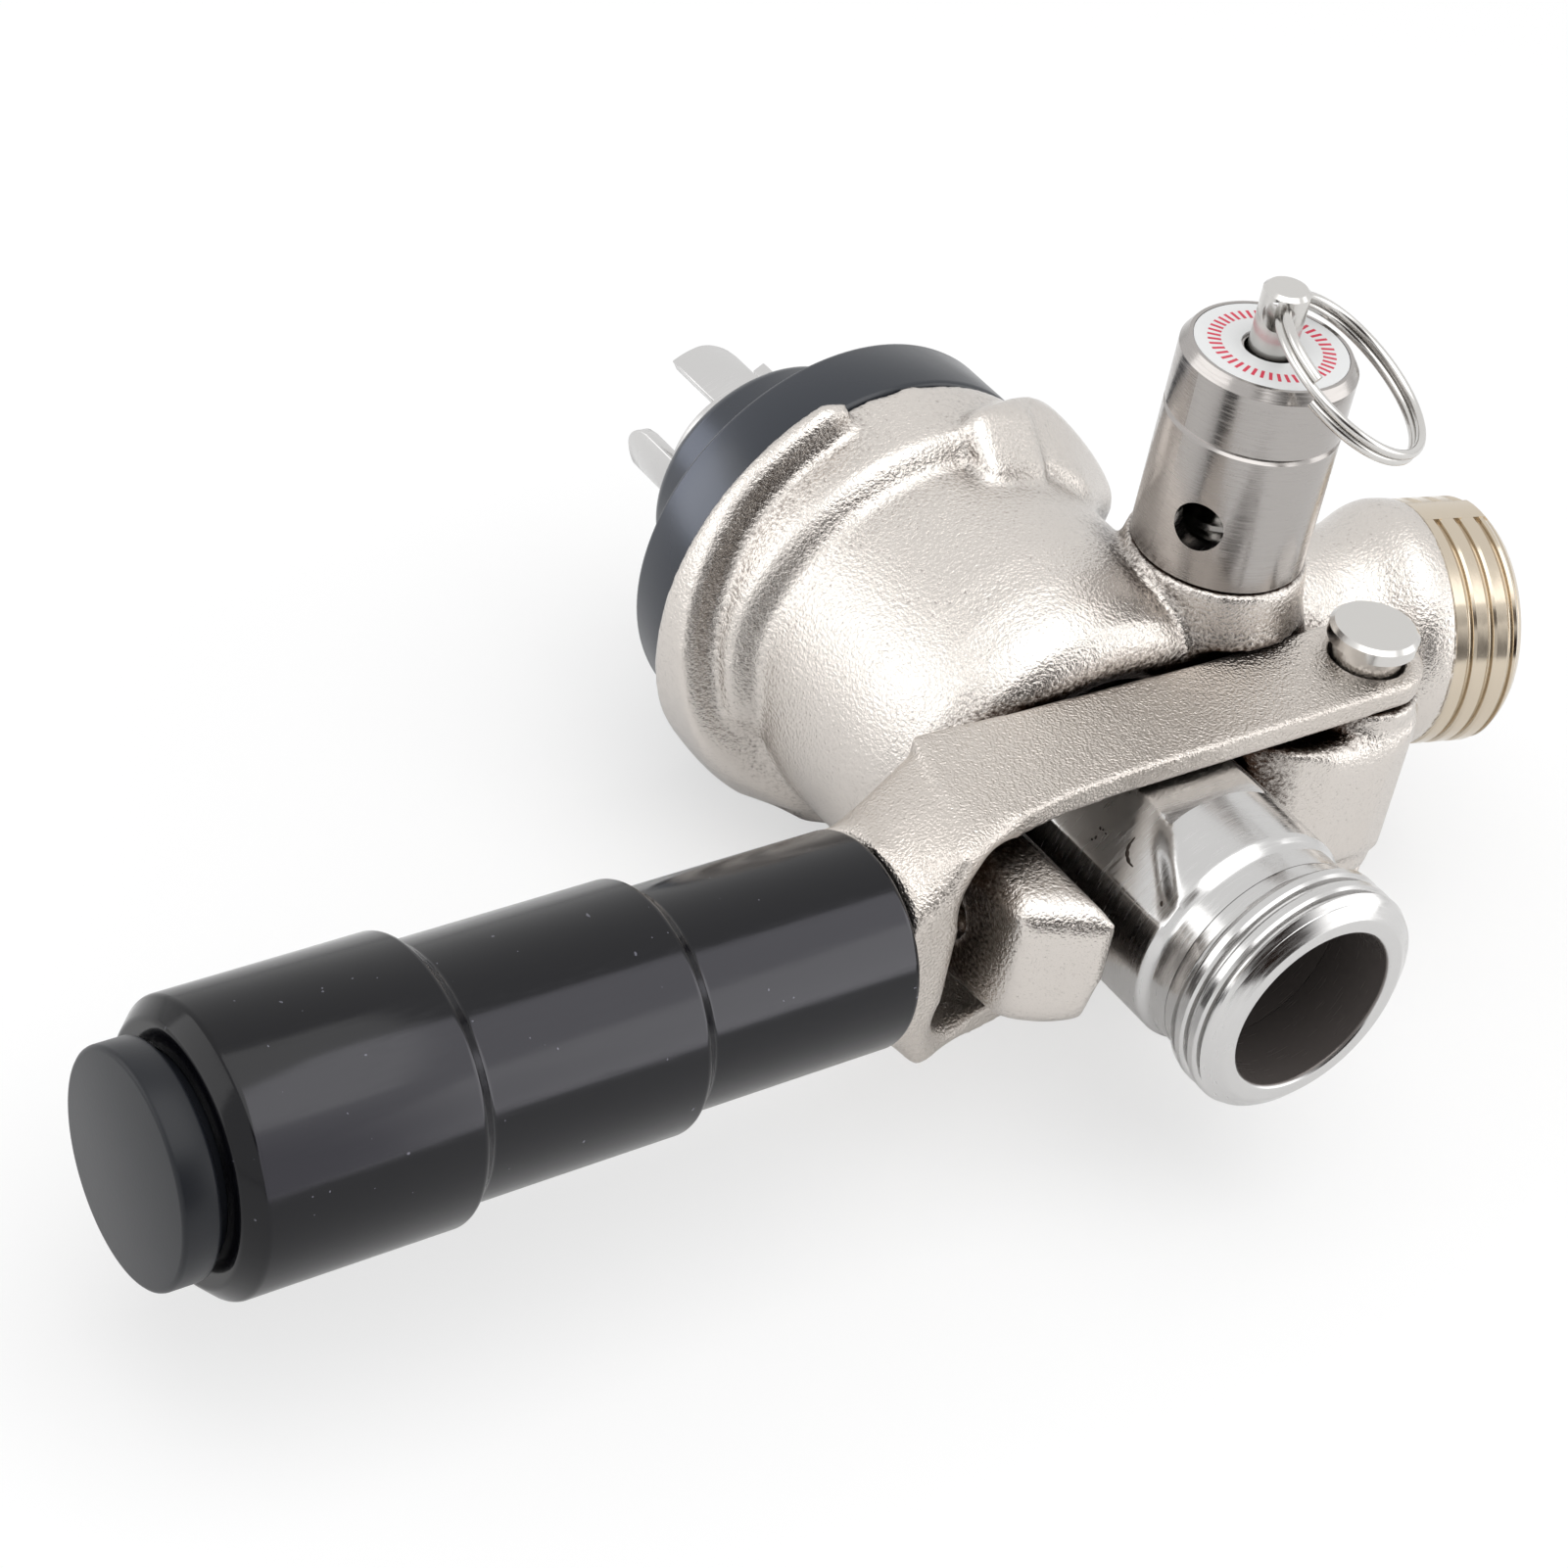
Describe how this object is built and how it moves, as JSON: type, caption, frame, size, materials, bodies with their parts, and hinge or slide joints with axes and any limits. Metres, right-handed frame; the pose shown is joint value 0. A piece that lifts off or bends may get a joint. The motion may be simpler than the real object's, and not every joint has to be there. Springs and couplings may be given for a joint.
{
  "type": "keg coupler",
  "caption": "Side-lever keg coupler: cast body with bayonet lugs and seal, sliding beer probe raised by a forked lever, gas port, and a pressure relief valve with a pull ring.",
  "frame": {"origin": "on the probe axis, at the keg side of the wide seal ring", "axes": "+Z along the probe from the keg to the beer outlet, +X to the grip, -Y to the relief valve"},
  "size_m": [0.1558, 0.0684, 0.0972],
  "materials": {
    "cast_nickel": "bright nickel plate over a rough casting",
    "satin_nickel": "satin nickel plate with a fine grain",
    "thread_nickel": "warm nickel plate, cut smooth",
    "stainless": "turned stainless steel",
    "spring_steel": "drawn steel wire",
    "black_rubber": "satin black rubber",
    "grip_plastic": "gloss black moulded plastic, lightly scratched",
    "cap_plastic": "matte black plastic",
    "label_disc": "pale disc with plain red tick marks"
  },
  "bodies": {
    "body": {"body_casting": "cast_nickel", "keg_seal": "black_rubber", "gland_ring_lower": "black_rubber", "gland_ring_upper": "black_rubber", "pivot_pin": "stainless", "pin_clip": "stainless", "relief_body": "stainless", "relief_cap": "stainless", "relief_label": "label_disc", "relief_spring": "spring_steel", "gas_thread_end": "thread_nickel", "gas_collar": "stainless", "gas_check_valve": "black_rubber"},
    "lever": {"yoke": "satin_nickel", "handle_tube": "stainless", "lock_spring": "spring_steel"},
    "grip_unit": {"grip": "grip_plastic", "grip_cap": "cap_plastic", "lock_rod": "stainless"},
    "probe_unit": {"probe": "stainless", "outlet_thread_end": "stainless", "piercing_tip": "stainless", "ball_seat": "black_rubber", "ball_cage": "stainless"},
    "ball": {"check_ball": "stainless"},
    "relief_unit": {"relief_stem": "stainless", "relief_disc": "black_rubber"},
    "ring": {"pull_ring": "spring_steel"}
  },
  "joints": [
    {"name": "lever_pivot", "type": "hinge", "parent": "body", "child": "lever", "pos_m": [-0.025, 0, 0.0485], "axis": [0, -1, 0], "range_deg": [0, 28]},
    {"name": "probe_slide", "type": "slide", "parent": "body", "child": "probe_unit", "axis": [0, 0, 1], "range_m": [0, 0.01325]},
    {"name": "grip_pull", "type": "slide", "parent": "lever", "child": "grip_unit", "axis": [1, 0, 0], "range_m": [0, 0.006], "stiffness_N_per_m": 400, "springref_m": -0.02, "deforming": ["lock_spring"]},
    {"name": "ball_lift", "type": "slide", "parent": "probe_unit", "child": "ball", "axis": [0, 0, 1], "range_m": [0, 0.004]},
    {"name": "relief_pull", "type": "slide", "parent": "body", "child": "relief_unit", "axis": [0, -1, 0], "range_m": [0, 0.0025], "stiffness_N_per_m": 2000, "springref_m": -0.004, "deforming": ["relief_spring"]},
    {"name": "ring_swing", "type": "hinge", "parent": "relief_unit", "child": "ring", "pos_m": [-0.01575, -0.0434, 0.0356], "axis": [0.7872, -0.1244, 0.604], "range_deg": [0, 60]}
  ],
  "couplings": [
    {"joint": "probe_slide", "follows": "lever_pivot", "m_per_rad": 0.02701}
  ]
}
